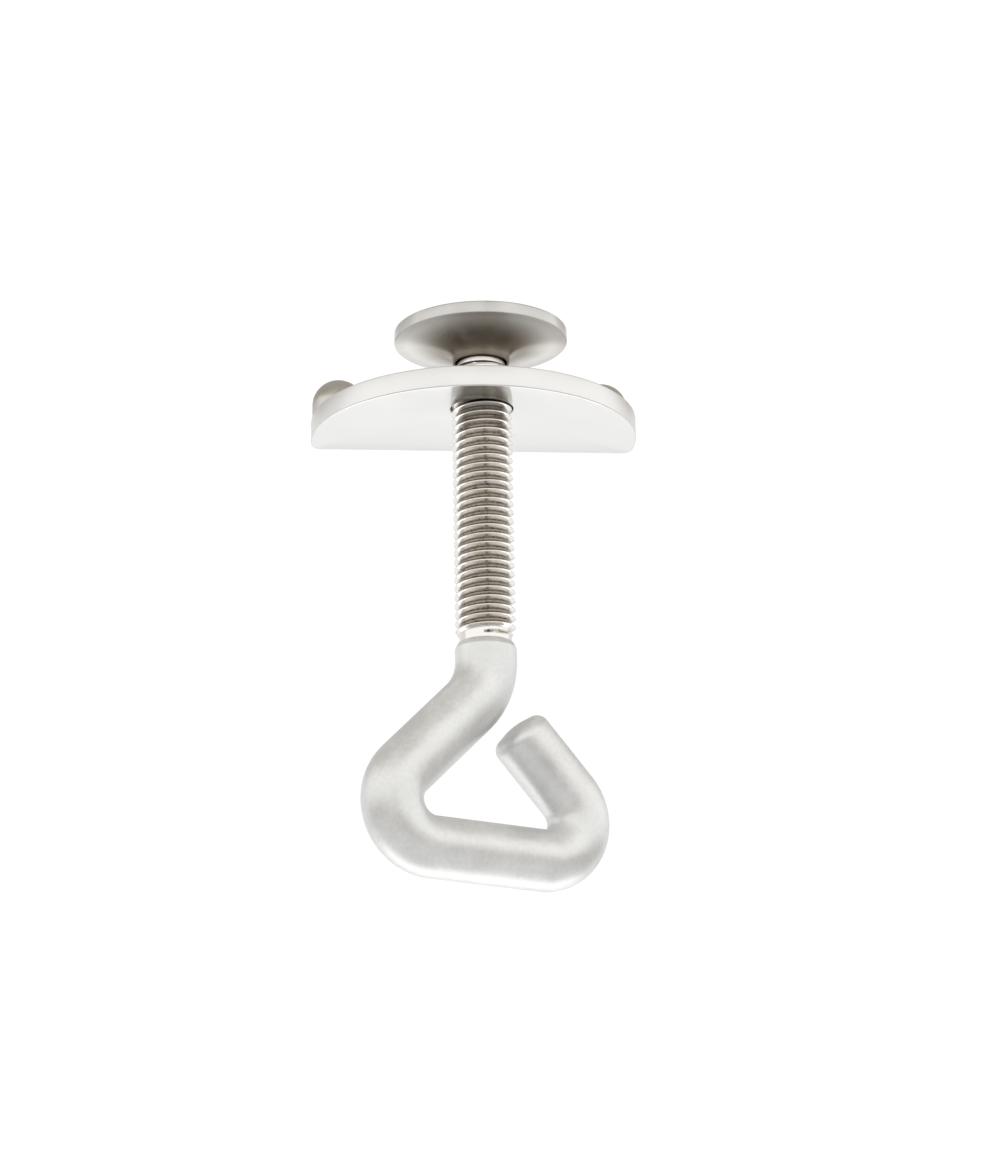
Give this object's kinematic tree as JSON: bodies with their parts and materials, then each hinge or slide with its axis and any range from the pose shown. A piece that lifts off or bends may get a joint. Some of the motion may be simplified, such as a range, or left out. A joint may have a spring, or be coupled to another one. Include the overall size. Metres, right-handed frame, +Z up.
{
  "type": "roof anchor with hook",
  "caption": "Stainless steel clamp anchor: a threaded rod with a swivelling trumpet head and a pegged half-moon plate above an open triangular hook.",
  "frame": {"origin": "centre of the clamp head's flat top face", "axes": "+Z up along the rod, X along the plate's straight edge, +Y towards the straight edge and the pegs"},
  "size_m": [0.0544, 0.0345, 0.0935],
  "materials": {
    "polished_steel": "turned and polished",
    "satin_steel": "satin brushed",
    "peg_steel": "turned",
    "blasted_steel": "bead blasted, with a bright rolled thread"
  },
  "bodies": {
    "head": {"clamp_head": "polished_steel", "retaining_ring": "polished_steel"},
    "plate": {"half_moon_plate": "satin_steel", "left_peg": "peg_steel", "right_peg": "peg_steel"},
    "hook": {"hook_rod": "blasted_steel"}
  },
  "joints": [
    {"name": "hook_turn", "type": "hinge", "parent": "head", "child": "hook", "pos_m": [0, 0, 0], "axis": [0, 0, 1], "range_deg": [-900, 9180]},
    {"name": "plate_travel", "type": "slide", "parent": "head", "child": "plate", "axis": [0, 0, 1], "range_m": [-0.0383, 0.0038]}
  ],
  "couplings": [
    {"joint": "plate_travel", "follows": "hook_turn", "m_per_rad": -0.00023873}
  ]
}
